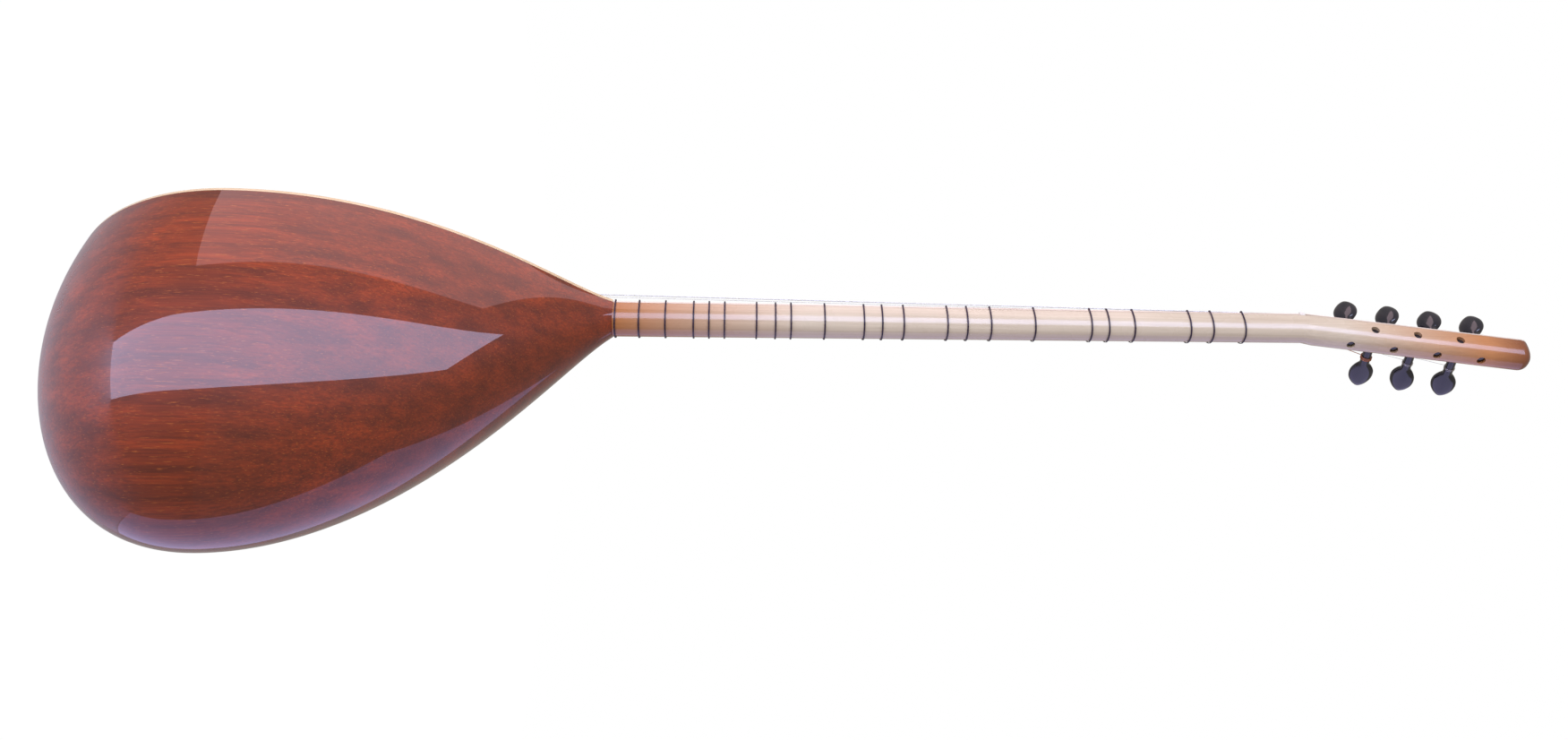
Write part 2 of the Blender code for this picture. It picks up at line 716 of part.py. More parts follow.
def make_string(number, metal):
    """One string, from the ball behind the holder over the bridge and the nut to its peg."""
    gauge = STRING_GAUGES[number]
    kind, peg, arrive = string_plan()[number]
    at_nut = Vector((NUT_PLACES[number], string_y(-NUT_RISE, gauge), NUT_THICKNESS / 2 + CLEARANCE))
    at_bridge = Vector((BRIDGE_PLACES[number], string_y(-BRIDGE_HEIGHT, gauge), -SCALE_LENGTH))
    tail_x = HOLDER_PLACES[number]
    behind = HOLDER_BACK_Z - CLEARANCE - STRING_BALL_RADIUS
    top = string_y(-HOLDER_RISE, gauge)
    turn = STRING_BALL_RADIUS
    ball = STRING_BALL_RADIUS
    points = [
        Vector((tail_x, STRING_BALL_DROP, behind)),
        Vector((tail_x, STRING_BALL_DROP - ball / 2, behind)),
        Vector((tail_x, STRING_BALL_DROP - 3 * ball / 2, behind)),
        Vector((tail_x, STRING_BALL_DROP - 2 * ball, behind)),
        Vector((tail_x, STRING_BALL_DROP - 3 * ball, behind)),
        Vector((tail_x, top + turn, behind)),
        Vector((tail_x, top + turn * 0.29, behind + turn * 0.29)),
        Vector((tail_x, top, behind + turn)),
        Vector((tail_x, top, TAIL_Z)),
        at_bridge,
        at_nut,
    ]
    swells = {0: 0.5, 1: 0.95, 2: 0.95, 3: 0.5}
    swells = {k: share * ball / (gauge / 2) for k, share in swells.items()}
    from_head = SIDE_WINDING_FROM_HEAD if kind == "side" else FRONT_WINDING_FROM_HEAD
    turns = winding(kind, peg, from_head, arrive, gauge)
    if kind == "side":
        points.append(over_edge(at_nut, turns[0], gauge))
    if kind == "front" and arrive == -ACROSS:
        points.append(beside_peg("front", peg - 1, arrive, gauge, from_head))
    made = tube(f"string_{number + 1}", points + turns, gauge, metal, swells)
    print(f"string_{number + 1}: least gap between its turns {least_gap(turns, gauge) * 1000:.2f} mm")
    return made


def make_fret(number, cents, nylon):
    """A loop tied round neck and fingerboard, with its knot at the side."""
    z = fret_place(cents)
    stand = CLEARANCE + FRET_DIAMETER / 2
    half, depth = neck_half_width(z), neck_depth(z)
    back = half_ring(half + stand, depth + stand, NECK_FRONT_Y, z, NECK_ROUNDNESS, NECK_SEGMENTS)
    corner = stand * math.sqrt(0.5)
    front = [
        Vector((-half - stand - FRET_KNOT_OUT, 0.0002, z)),
        Vector((-half - corner, -corner, z)),
        Vector((-half, -stand, z)),
        Vector((half, -stand, z)),
        Vector((half + corner, -corner, z)),
        Vector((half + stand, 0.0, z)),
    ]
    swells = {len(back): FRET_KNOT_SWELL}
    return tube(f"fret_{number + 1:02d}", back + front, FRET_DIAMETER, nylon, swells, closed=True)


def build():
    clear_scene()
    mahogany = make_material("bowl lacquer", (0.20, 0.045, 0.018), 0.12)
    spruce = make_material("soundboard spruce", (0.72, 0.55, 0.33), 0.35)
    blond = make_material("neck wood", (0.66, 0.46, 0.27), 0.18)
    overlay = make_material("front overlay", (0.70, 0.60, 0.48), 0.25)
    dark = make_material("dark hardwood", (0.05, 0.03, 0.02), 0.3)
    bone = make_material("bone", (0.80, 0.76, 0.66), 0.3)
    lacquer = make_material("peg black", (0.012, 0.012, 0.020), 0.08)
    steel = make_material("string steel", (0.62, 0.62, 0.60), 0.25, 1.0)
    copper = make_material("string copper", (0.72, 0.33, 0.20), 0.3, 1.0)
    nylon = make_material("fret nylon", (0.030, 0.018, 0.035), 0.35)

    bores = make_bores()
    make_bowl(mahogany)
    make_soundboard(spruce)
    for name, from_neck in BRACES_FROM_NECK.items():
        make_brace(name, from_neck, spruce)
    make_neck(blond, bores)
    make_fingerboard(overlay)
    make_facing(overlay, bores)
    make_nut(bone)
    make_bridge(dark)
    make_holder(dark)
    for number, turn in enumerate(FRONT_PEG_TURNS):
        make_peg("front", number, turn, lacquer)
    for number, turn in enumerate(SIDE_PEG_TURNS):
        make_peg("side", number, turn, lacquer)
    wound = max(STRING_GAUGES[:3])
    for number, gauge in enumerate(STRING_GAUGES):
        make_string(number, copper if gauge >= wound else steel)
    for number, cents in enumerate(FRET_CENTS):
        make_fret(number, cents, nylon)


build()
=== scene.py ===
# %% [markdown]
# A divan saz, dressed
#
# The frame holds the instrument's solids at their real size. This lesson gives it its looks: a carved
# bowl under thick lacquer, a pale neck stained towards the bowl, black pegs, tied nylon frets and seven
# strings. Z runs up the neck, the strings lie on the -Y side and the round back on the +Y side.

# %% Load the frame
import bisect
import math
import bmesh
import bpy
from mathutils import Matrix, Vector


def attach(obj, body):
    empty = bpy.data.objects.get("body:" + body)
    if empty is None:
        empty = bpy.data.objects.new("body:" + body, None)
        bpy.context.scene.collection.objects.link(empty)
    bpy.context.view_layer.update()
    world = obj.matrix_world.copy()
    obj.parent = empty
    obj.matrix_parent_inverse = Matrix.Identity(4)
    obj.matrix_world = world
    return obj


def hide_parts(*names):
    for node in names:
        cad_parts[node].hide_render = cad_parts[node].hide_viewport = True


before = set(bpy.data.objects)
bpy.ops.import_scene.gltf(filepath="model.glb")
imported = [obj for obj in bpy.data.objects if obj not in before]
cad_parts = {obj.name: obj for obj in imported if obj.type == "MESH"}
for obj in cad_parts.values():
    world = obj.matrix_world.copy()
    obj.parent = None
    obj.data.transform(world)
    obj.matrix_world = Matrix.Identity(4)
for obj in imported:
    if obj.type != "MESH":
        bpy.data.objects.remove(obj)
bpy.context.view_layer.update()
ACROSS = Vector((1, 0, 0))

# %% [markdown]
# Sizes
#
# The maker's sizes are repeated here, because the fine surfaces follow the same curves as the solids
# that they stand for. Lengths are metres. The shape of rim and keel is five shares: how full and how
# spread the curve is at the tail, its spread and its reach towards the neck, and its slope there.

# %% Sizes of the body and the neck
SCALE_LENGTH = 1.04
NECK_LENGTH = 0.6545
BOWL_LENGTH = 0.4855
BOWL_HALF_WIDTH = 0.1325
BOWL_DEPTH = 0.268
BOWL_WALL = 0.006
BOWL_LIP = 0.0015
NECK_END_WOOD = 0.045
GAP = 0.0003
WIDEST_FROM_TAIL = 0.167
RIM_SHAPE = (0.49, 0.65, 0.545, 0.155, math.radians(19.8))
KEEL_SHAPE = (0.36, 0.71, 0.49, 0.213, math.radians(43.4))
SOUNDBOARD_THICKNESS = 0.0035
FINGERBOARD_THICKNESS = 0.0025
FACING_THICKNESS = 0.0020
NECK_WIDTHS = (0.0256, 0.0316)
NECK_DEPTHS = (0.0229, 0.0257)
BOWL_ROUNDNESS = 2.0
NECK_ROUNDNESS = 2.2
HEAD_LENGTH = 0.2085
HEAD_WIDTH = 0.0266
HEAD_THICKNESS = 0.0234
HEAD_TILT = math.radians(9.75)
HEAD_ROUNDNESS = 2.5
HEAD_BLEND = 0.012
TIP_ROUND = 0.009
SOUND_HOLE_RADIUS = 0.010
SOUND_HOLE_DEPTH = 0.060
TENON_WIDTH = 0.014
TENON_DEPTH = 0.013
TENON_LENGTH = 0.035
TENON_SQUARENESS = 8.0

JOINT_Z = -NECK_LENGTH
TAIL_Z = JOINT_Z - BOWL_LENGTH
RIM_Y = SOUNDBOARD_THICKNESS + GAP
NECK_FRONT_Y = FINGERBOARD_THICKNESS + GAP
HEAD_FRONT_Y = FACING_THICKNESS + GAP
HEAD_ALONG = Vector((0, math.sin(HEAD_TILT), math.cos(HEAD_TILT)))
HEAD_BACKWARD = Vector((0, math.cos(HEAD_TILT), -math.sin(HEAD_TILT)))
print("the bowl runs from", round(TAIL_Z, 4), "to", round(JOINT_Z, 4))

# %% [markdown]
# Skins, cuts and curves
#
# Nearly every piece here is a skin drawn through rings, as a maker checks a bowl with a set of templates.
# What is cut out of it, such as a bore, is such a skin too, taken away for good by an exact Boolean.

# %% Mesh helpers
SHARP_ANGLE = 38


def as_object(name, mesh, sharp=SHARP_ANGLE):
    """Put a mesh in the scene, smooth but for its sharp corners."""
    mesh.shade_smooth()
    mesh.set_sharp_from_angle(angle=math.radians(sharp))
    made = bpy.data.objects.new(name, mesh)
    bpy.context.scene.collection.objects.link(made)
    return made


def loft(name, rings):
    """A closed skin through rings of equal point counts, capped at both ends."""
    shape = bmesh.new()
    rows = [[shape.verts.new(point) for point in ring] for ring in rings]
    count = len(rows[0])
    for row, following in zip(rows, rows[1:]):
        for i in range(count):
            j = (i + 1) % count
            shape.faces.new((row[i], row[j], following[j], following[i]))
    shape.faces.new(rows[0])
    shape.faces.new(rows[-1])
    bmesh.ops.recalc_face_normals(shape, faces=shape.faces)
    mesh = bpy.data.meshes.new(name)
    shape.to_mesh(mesh)
    shape.free()
    return as_object(name, mesh)


def freeze(made, sharp=SHARP_ANGLE):
    """Turn what the modifiers give into a plain mesh, and drop the modifiers."""
    ready = made.evaluated_get(bpy.context.evaluated_depsgraph_get())
    mesh = bpy.data.meshes.new_from_object(ready)
    name = made.name
    bpy.data.objects.remove(made, do_unlink=True)
    return as_object(name, mesh, sharp)


def carve(made, cutters):
    """Cut shapes out of a piece for good."""
    for cutter in cutters:
        step = made.modifiers.new(cutter.name, "BOOLEAN")
        step.solver = "EXACT"
        step.object = cutter
    bpy.context.view_layer.update()
    done = freeze(made)
    for cutter in cutters:
        bpy.data.objects.remove(cutter, do_unlink=True)
    return done


# %% Curves of the bowl
CURVE_STEPS = 300


def cubic(corners):
    """Points of one Bezier stretch, its first point left out."""
    found = []
    for step in range(1, CURVE_STEPS + 1):
        t = step / CURVE_STEPS
        weights = ((1 - t) ** 3, 3 * (1 - t) ** 2 * t, 3 * (1 - t) * t**2, t**3)
        found.append(tuple(sum(w * c[axis] for w, c in zip(weights, corners)) for axis in (0, 1)))
    return found


def swell(length, full_at, full, end, shape):
    """How far the bowl stands out: nothing at the tail, full at full_at, end at the neck."""
    tail_fullness, tail_spread, neck_spread, neck_reach, neck_slope = shape
    rest = length - full_at
    reach = neck_reach * rest
    tail = ((0, 0), (0, tail_fullness * full), (full_at * (1 - tail_spread), full), (full_at, full))
    neck = (
        (full_at, full),
        (full_at + neck_spread * rest, full),
        (length - reach * math.cos(neck_slope), end + reach * math.sin(neck_slope)),
        (length, end),
    )
    return [(0.0, 0.0)] + cubic(tail) + cubic(neck)


def read(curve, along):
    """The height of a curve at a distance along it."""
    k = min(max(bisect.bisect_left(curve, (along,)), 1), len(curve) - 1)
    (x0, y0), (x1, y1) = curve[k - 1], curve[k]
    return y0 + (y1 - y0) * (along - x0) / (x1 - x0)


def bowl_curves(inset, length, neck_end, keel_end):
    """The rim and the keel of the bowl, drawn in by the wall where inset is the wall."""
    full_at = WIDEST_FROM_TAIL - inset
    return (
        swell(length, full_at, BOWL_HALF_WIDTH - inset, neck_end, RIM_SHAPE),
        swell(length, full_at, BOWL_DEPTH - RIM_Y - inset, keel_end, KEEL_SHAPE),
    )


def stations(length, count, first):
    """Distances from the tail, close together where the bowl turns in."""
    return [first] + [length * (1 - math.cos(math.pi / 2 * k / count)) for k in range(1, count + 1)]


# %% Rings
def half_ring(half_width, depth, front, z, roundness, segments):
    """A flat front and a round back, from +X over the back to -X."""
    points = []
    for k in range(segments + 1):
        angle = math.pi * k / segments
        c, s = math.cos(angle), max(math.sin(angle), 0.0)
        x = math.copysign(abs(c) ** (2 / roundness), c) * half_width
        points.append(Vector((x, front + (depth - front) * s ** (2 / roundness), z)))
    points[0].y = points[-1].y = front
    return points


def turned(start, direction, stops, segments, first_way):
    """Rings across a straight axis. Each stop is (distance, half width, half thickness)."""
    first = first_way.normalized()
    second = direction.cross(first)
    rings = []
    for distance, wide, thick in stops:
        ring = []
        for k in range(segments):
            angle = 2 * math.pi * k / segments
            way = first * wide * math.cos(angle) + second * thick * math.sin(angle)
            ring.append(start + direction * distance + way)
        rings.append(ring)
    return rings


widest = read(bowl_curves(0, BOWL_LENGTH, 0, 0)[0], WIDEST_FROM_TAIL)
print("the bowl is", round(2 * widest, 4), "wide at its widest")

# %% [markdown]
# Wood under lacquer
#
# All the woods share one grain: fine lines that run with the piece, stripes about a centimetre wide and
# short flecks, each a noise stretched along the piece. One node group makes it, and each wood gives it
# its own colours and amounts. It reads Object coordinates, so the figure is solid and runs on round
# every edge. The group holds no shader, so each wood keeps its lacquer on its own shader's sockets.

# %% Node helpers
def link(tree, source, target):
    tree.links.new(source, target)


def node(tree, kind, **values):
    made = tree.nodes.new(kind)
    for name, value in values.items():
        setattr(made, name, value)
    return made


def noise(tree, vector, scale, detail, roughness=0.55):
    made = node(tree, "ShaderNodeTexNoise")
    made.inputs["Scale"].default_value = scale
    made.inputs["Detail"].default_value = detail
    made.inputs["Roughness"].default_value = roughness
    link(tree, vector, made.inputs["Vector"])
    return made.outputs["Fac"]


def spread(tree, value, low, high, to_low=0.0, to_high=1.0):
    """Stretch a value from one range to another, and stop at the ends."""
    made = node(tree, "ShaderNodeMapRange", clamp=True)
    link(tree, value, made.inputs["Value"])
    for name, number in (("From Min", low), ("From Max", high), ("To Min", to_low), ("To Max", to_high)):
        made.inputs[name].default_value = number
    return made.outputs["Result"]


def times(tree, first, second):
    made = node(tree, "ShaderNodeMath", operation="MULTIPLY")
    for place, value in enumerate((first, second)):
        if isinstance(value, (int, float)):
            made.inputs[place].default_value = value
        else:
            link(tree, value, made.inputs[place])
    return made.outputs[0]


def blend_colour(tree, amount, first, second):
    """Mix two colours, each a socket or a plain value."""
    made = node(tree, "ShaderNodeMix", data_type="RGBA")
    sockets = [s for s in made.inputs if s.type == "RGBA"]
    for socket, value in zip(sockets, (first, second)):
        if isinstance(value, tuple):
            socket.default_value = (*value, 1)
        else:
            link(tree, value, socket)
    if isinstance(amount, (int, float)):
        made.inputs[0].default_value = amount
    else:
        link(tree, amount, made.inputs[0])
    return [s for s in made.outputs if s.type == "RGBA"][0]


# %% The grain, built once
FINE_LINES = (9, 620)
STRIPES = (2.2, 78)
FLECKS = (85, 1150)


def grain_group():
    """The grain as a node group. Each figure above is its changes per metre along and across the piece."""
    group = bpy.data.node_groups.new("grain along the piece", "ShaderNodeTree")
    face = group.interface
    face.new_socket("Vector", in_out="INPUT", socket_type="NodeSocketVector")
    for name in ("Light", "Dark", "Fleck"):
        face.new_socket(name, in_out="INPUT", socket_type="NodeSocketColor")
    for name in ("Lines", "Stripes", "Flecks"):
        face.new_socket(name, in_out="INPUT", socket_type="NodeSocketFloat")
    face.new_socket("Color", in_out="OUTPUT", socket_type="NodeSocketColor")
    face.new_socket("Height", in_out="OUTPUT", socket_type="NodeSocketFloat")
    enter, leave = node(group, "NodeGroupInput"), node(group, "NodeGroupOutput")

    def stretched(along, across):
        made = node(group, "ShaderNodeMapping")
        made.inputs["Scale"].default_value = (across, across, along)
        link(group, enter.outputs["Vector"], made.inputs["Vector"])
        return made.outputs["Vector"]

    lines = noise(group, stretched(*FINE_LINES), 1.0, 6, 0.6)
    stripes = noise(group, stretched(*STRIPES), 1.0, 3)
    flecks = noise(group, stretched(*FLECKS), 1.0, 3, 0.6)
    line_mask = times(group, spread(group, lines, 0.36, 0.66), enter.outputs["Lines"])
    stripe_mask = times(group, spread(group, stripes, 0.34, 0.66), enter.outputs["Stripes"])
    fleck_mask = times(group, spread(group, flecks, 0.60, 0.70), enter.outputs["Flecks"])
    striped = blend_colour(group, stripe_mask, enter.outputs["Light"], enter.outputs["Dark"])
    lined = blend_colour(group, line_mask, striped, enter.outputs["Dark"])
    flecked = blend_colour(group, fleck_mask, lined, enter.outputs["Fleck"])
    link(group, flecked, leave.inputs["Color"])
    link(group, lines, leave.inputs["Height"])
    return group


GRAIN = grain_group()
print("the grain has", len(GRAIN.nodes), "nodes")


# %% What every finish starts from
def grained(tree, vector, light, dark, fleck, amounts):
    """Place the grain in a material with its own colours and amounts."""
    made = node(tree, "ShaderNodeGroup", node_tree=GRAIN)
    for name, colour in (("Light", light), ("Dark", dark), ("Fleck", fleck)):
        if isinstance(colour, tuple):
            made.inputs[name].default_value = (*colour, 1)
        else:
            link(tree, colour, made.inputs[name])
    for name, amount in zip(("Lines", "Stripes", "Flecks"), amounts):
        made.inputs[name].default_value = amount
    link(tree, vector, made.inputs["Vector"])
    return made.outputs["Color"], made.outputs["Height"]


def begin(name, roughness, metallic=0.0, coat=0.0, coat_roughness=0.03, specular=0.5):
    """A new material, its shader and the Object coordinates."""
    made = bpy.data.materials.new(name)
    made.use_nodes = True
    tree = made.node_tree
    shader = tree.nodes["Principled BSDF"]
    shader.inputs["Roughness"].default_value = roughness
    shader.inputs["Metallic"].default_value = metallic
    shader.inputs["Coat Weight"].default_value = coat
    shader.inputs["Coat Roughness"].default_value = coat_roughness
    shader.inputs["Specular IOR Level"].default_value = specular
    place = node(tree, "ShaderNodeTexCoord").outputs["Object"]
    return made, tree, shader, place


def relief(tree, shader, height, distance, strength):
    """Let a height stand out of the surface by a distance, as open pores and ribs do."""
    made = node(tree, "ShaderNodeBump")
    made.inputs["Distance"].default_value = distance
    made.inputs["Strength"].default_value = strength
    link(tree, height, made.inputs["Height"])
    link(tree, made.outputs["Normal"], shader.inputs["Normal"])


def uneven(tree, shader, place, swing, scale=30):
    """Let the gloss wander about its plain value, as polish and handling leave it."""
    gloss = shader.inputs["Roughness"]
    plain = gloss.default_value
    wander = spread(tree, noise(tree, place, scale, 3), 0.3, 0.7, plain - swing, plain + swing)
    link(tree, wander, gloss)


def clouded(tree, shader, place, scale, detail, first, second, edges=(0.35, 0.65)):
    """Drift between two near colours, so that nothing is one flat colour."""
    cloud = spread(tree, noise(tree, place, scale, detail), *edges)
    link(tree, blend_colour(tree, cloud, first, second), shader.inputs["Base Color"])


# %% Mahogany, spruce and the dark hardwood
def mahogany():
    """Red-brown wood with orange flecks and dark clouds, under a thick, hard lacquer."""
    made, tree, shader, place = begin(
        "lacquered mahogany", 0.46, coat=1.0, coat_roughness=0.015, specular=0.15
    )
    light, dark, fleck = (0.330, 0.041, 0.005), (0.062, 0.009, 0.003), (0.46, 0.110, 0.014)
    colour, _ = grained(tree, place, light, dark, fleck, (0.62, 0.70, 0.75))
    cloud = times(tree, spread(tree, noise(tree, place, 9, 2), 0.36, 0.68), 0.4)
    shaded = blend_colour(tree, cloud, colour, (0.100, 0.016, 0.004))
    link(tree, shaded, shader.inputs["Base Color"])
    uneven(tree, shader, place, 0.06)
    return made


def spruce():
    """The straight, close grain of a soundboard under a thin satin coat."""
    made, tree, shader, place = begin("soundboard spruce", 0.36, coat=0.5, coat_roughness=0.12)
    light, dark, fleck = (0.74, 0.55, 0.31), (0.60, 0.39, 0.18), (0.50, 0.30, 0.13)
    colour, height = grained(tree, place, light, dark, fleck, (0.7, 0.25, 0.10))
    link(tree, colour, shader.inputs["Base Color"])
    uneven(tree, shader, place, 0.06)
    relief(tree, shader, height, 0.00004, 0.5)
    return made


def hardwood():
    """Nearly black wood for bridge and string holder, oiled more than lacquered."""
    made, tree, shader, place = begin("dark hardwood", 0.34, coat=0.3)
    light, dark, fleck = (0.060, 0.030, 0.018), (0.022, 0.012, 0.009), (0.10, 0.05, 0.03)
    colour, height = grained(tree, place, light, dark, fleck, (0.6, 0.4, 0.3))
    link(tree, colour, shader.inputs["Base Color"])
    uneven(tree, shader, place, 0.08)
    relief(tree, shader, height, 0.00004, 0.6)
    return made


# %% Neck wood, stained towards both ends
HONEY_FADES_IN = 0.18
ORANGE_FROM_NUT = (0.035, 0.16)
RED_FROM_NUT = (0.165, 0.205)


def neck_wood():
    """Pale wood, honey by the bowl, cream along the middle and red-brown at the head's tip."""
    made, tree, shader, place = begin(
        "stained neck wood", 0.28, coat=0.8, coat_roughness=0.10, specular=0.25
    )
    split = node(tree, "ShaderNodeSeparateXYZ")
    link(tree, place, split.inputs[0])
    height_up = split.outputs["Z"]
    cream, honey = (0.68, 0.56, 0.37), (0.43, 0.15, 0.035)
    orange, red = (0.56, 0.23, 0.075), (0.16, 0.030, 0.010)
    by_bowl = spread(tree, height_up, JOINT_Z, JOINT_Z + HONEY_FADES_IN, 1.0, 0.0)
    by_head = spread(tree, height_up, *ORANGE_FROM_NUT)
    by_tip = spread(tree, height_up, *RED_FROM_NUT)
    stain = blend_colour(tree, by_bowl, cream, honey)
    stain = blend_colour(tree, by_head, stain, orange)
    stain = blend_colour(tree, by_tip, stain, red)
    darker = blend_colour(tree, 0.55, stain, (0.12, 0.045, 0.014))
    colour, height = grained(tree, place, stain, darker, darker, (0.26, 0.24, 0.16))
    link(tree, colour, shader.inputs["Base Color"])
    uneven(tree, shader, place, 0.06)
    relief(tree, shader, height, 0.00002, 0.4)
    return made


def overlay_wood():
    """The thin pale wood on the front of neck and head."""
    made, tree, shader, place = begin("pale overlay", 0.35, coat=0.4)
    light, dark, fleck = (0.74, 0.62, 0.46), (0.56, 0.42, 0.28), (0.46, 0.32, 0.20)
    colour, height = grained(tree, place, light, dark, fleck, (0.4, 0.3, 0.15))
    link(tree, colour, shader.inputs["Base Color"])
    relief(tree, shader, height, 0.00003, 0.5)
    return made


# %% [markdown]
# Black pegs, nylon, bone and wire
#
# The pegs are turned from hardwood and lacquered black, the frets are dark nylon line, and the strings
# are plain steel but for the first, which is wound with copper. Its ribs are too fine for a mesh, so a
# wave along its length makes them in the finish.

# %% Pegs, nylon, bone and wire
def peg_black():
    made, tree, shader, place = begin("black lacquer", 0.17, coat=1.0, specular=0.2)
    clouded(tree, shader, place, 90, 3, (0.007, 0.007, 0.012), (0.017, 0.014, 0.018))
    uneven(tree, shader, place, 0.05, 120)
    return made


def fret_nylon():
    made, tree, shader, place = begin("dark nylon line", 0.32)
    clouded(tree, shader, place, 400, 2, (0.018, 0.011, 0.024), (0.050, 0.026, 0.045))
    uneven(tree, shader, place, 0.08, 500)
    return made


def bone():
    made, tree, shader, place = begin("bone", 0.365)
    clouded(tree, shader, place, 160, 4, (0.80, 0.75, 0.62), (0.70, 0.63, 0.49), (0.3, 0.7))
    uneven(tree, shader, place, 0.085, 200)
    return made


def wire(name, bright, dull, ribs=0):
    """Drawn wire. Ribs is the scale of the wave that stands for a winding, and a plain string has none."""
    made, tree, shader, place = begin(name, 0.28, metallic=1.0)
    clouded(tree, shader, place, 300, 3, bright, dull)
    uneven(tree, shader, place, 0.08, 350)
    if ribs:
        wave = node(tree, "ShaderNodeTexWave", bands_direction="Z")
        wave.inputs["Scale"].default_value = ribs
        link(tree, place, wave.inputs["Vector"])
        relief(tree, shader, wave.outputs["Fac"], 0.00005, 0.7)
    return made


BOWL_WOOD = mahogany()
BOARD_WOOD = spruce()
DARK_WOOD = hardwood()
NECK_WOOD = neck_wood()
OVERLAY = overlay_wood()
PEG_BLACK = peg_black()
NYLON = fret_nylon()
BONE = bone()
STEEL = wire("plain steel wire", (0.72, 0.72, 0.72), (0.52, 0.52, 0.53))
COPPER = wire("copper winding", (0.80, 0.36, 0.20), (0.52, 0.20, 0.11), 900)
print("finishes:", len(bpy.data.materials))


# %% Finish, body and node of a piece
def finish(made, material, slot, body, *nodes):
    """Give a piece its finish, its body and the nodes that it stands for."""
    made.data.materials.clear()
    made.data.materials.append(material)
    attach(made, body)
    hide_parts(*nodes)
    return made


# %% [markdown]
# The bowl
#
# The real bowl is dug out of one log and scraped smooth, so nothing but a fine surface will do under the
# gloss. Half ellipses stand along two Bezier curves, the rim and the keel. The hollow is the same form
# drawn in by the wall. The tongue of the neck and the sound hole are cut through it afterwards.

# %% Bowl
BOWL_STATIONS = 110
BOWL_SEGMENTS = 96
HOLLOW_STATIONS = 48
HOLLOW_SEGMENTS = 48
TAIL_FLAT = 0.00001
HOLE_SEGMENTS = 64


def make_bowl():
    rim, keel = bowl_curves(0, BOWL_LENGTH, NECK_WIDTHS[1] / 2 + BOWL_LIP, NECK_DEPTHS[1] - RIM_Y)
    hollow_length = BOWL_LENGTH - BOWL_WALL - NECK_END_WOOD
    end_half, end_deep = NECK_WIDTHS[1] / 2 - BOWL_WALL, NECK_DEPTHS[1] / 2
    in_rim, in_keel = bowl_curves(BOWL_WALL, hollow_length, end_half, end_deep)
    outside = [
        half_ring(read(rim, s), RIM_Y + read(keel, s), RIM_Y, TAIL_Z + s, BOWL_ROUNDNESS, BOWL_SEGMENTS)
        for s in stations(BOWL_LENGTH, BOWL_STATIONS, TAIL_FLAT)
    ]
    hollow = []
    lid = RIM_Y - BOWL_WALL
    for s in stations(hollow_length, HOLLOW_STATIONS, 2 * TAIL_FLAT):
        z = TAIL_Z + BOWL_WALL + s
        half = read(in_rim, s)
        ring = half_ring(half, RIM_Y + read(in_keel, s), RIM_Y, z, BOWL_ROUNDNESS, HOLLOW_SEGMENTS)
        hollow.append([Vector((half, lid, z))] + ring + [Vector((-half, lid, z))])
    side, high = TENON_WIDTH / 2 + GAP, RIM_Y + TENON_DEPTH + GAP
    corners = ((side, lid), (side, high), (-side, high), (-side, lid))
    ends = (JOINT_Z - TENON_LENGTH - GAP, JOINT_Z + BOWL_WALL)
    mortise = [[Vector((x, y, z)) for x, y in corners] for z in ends]
    stops = [
        (end, SOUND_HOLE_RADIUS, SOUND_HOLE_RADIUS) for end in (-BOWL_WALL, SOUND_HOLE_DEPTH + BOWL_WALL)
    ]
    centre = Vector((0, SOUND_HOLE_DEPTH, TAIL_Z))
    hole = turned(centre, Vector((0, 0, 1)), stops, HOLE_SEGMENTS, ACROSS)
    cutters = [loft("hollow", hollow), loft("mortise", mortise), loft("hole", hole)]
    made = carve(loft("carved_bowl", outside), cutters)
    return finish(made, BOWL_WOOD, "bowl_lacquer", "root", "bowl")


bowl = make_bowl()
print("bowl faces:", len(bowl.data.polygons))


# %% [markdown]
# The soundboard
#
# A thin flat front with the outline of the rim. Its pale edge is the bright line that the picture shows
# along the bowl, so the edge gets a small round of its own.

# %% Soundboard
BOARD_EDGE = 0.0006
ROUND_CORNER = 0.29


def make_soundboard():
    rim, _ = bowl_curves(0, BOWL_LENGTH, NECK_WIDTHS[1] / 2 + BOWL_LIP, NECK_DEPTHS[1] - RIM_Y)
    rings = []
    for s in stations(BOWL_LENGTH - GAP, BOWL_STATIONS, TAIL_FLAT):
        half = read(rim, s)
        edge = min(BOARD_EDGE, half / 3)
        corner = edge * ROUND_CORNER
        one_side = ((half - edge, 0), (half - corner, corner), (half, edge), (half, SOUNDBOARD_THICKNESS))
        outline = one_side + tuple((-x, y) for x, y in reversed(one_side))
        rings.append([Vector((x, y, TAIL_Z + s)) for x, y in outline])
    return finish(loft("front_board", rings), BOARD_WOOD, "soundboard_wood", "root", "soundboard")


front_board = make_soundboard()
print("soundboard faces:", len(front_board.data.polygons))


# %% [markdown]
# The neck
#
# Neck and head are one piece of pale wood. The section is nearly a half circle, a little squarer at the
# head. Seven tapered bores are cut through the head for the pegs, with the ends of the front pegs showing
# at the back as small round holes.

# %% Neck sections
NECK_SEGMENTS = 48
NECK_STATIONS = 14
TIP_STEPS = 12
TIP_TURN = 0.94


def neck_half_width(z):
    return (NECK_WIDTHS[0] + (NECK_WIDTHS[1] - NECK_WIDTHS[0]) * -z / NECK_LENGTH) / 2


def neck_depth(z):
    return NECK_DEPTHS[0] + (NECK_DEPTHS[1] - NECK_DEPTHS[0]) * -z / NECK_LENGTH


def head_inset(along):
    into = max(along - (HEAD_LENGTH - TIP_ROUND), 0.0)
    return TIP_ROUND - math.sqrt(max(TIP_ROUND**2 - into**2, 0.0))


def head_point(across, back, along):
    return ACROSS * across + HEAD_BACKWARD * back + HEAD_ALONG * along


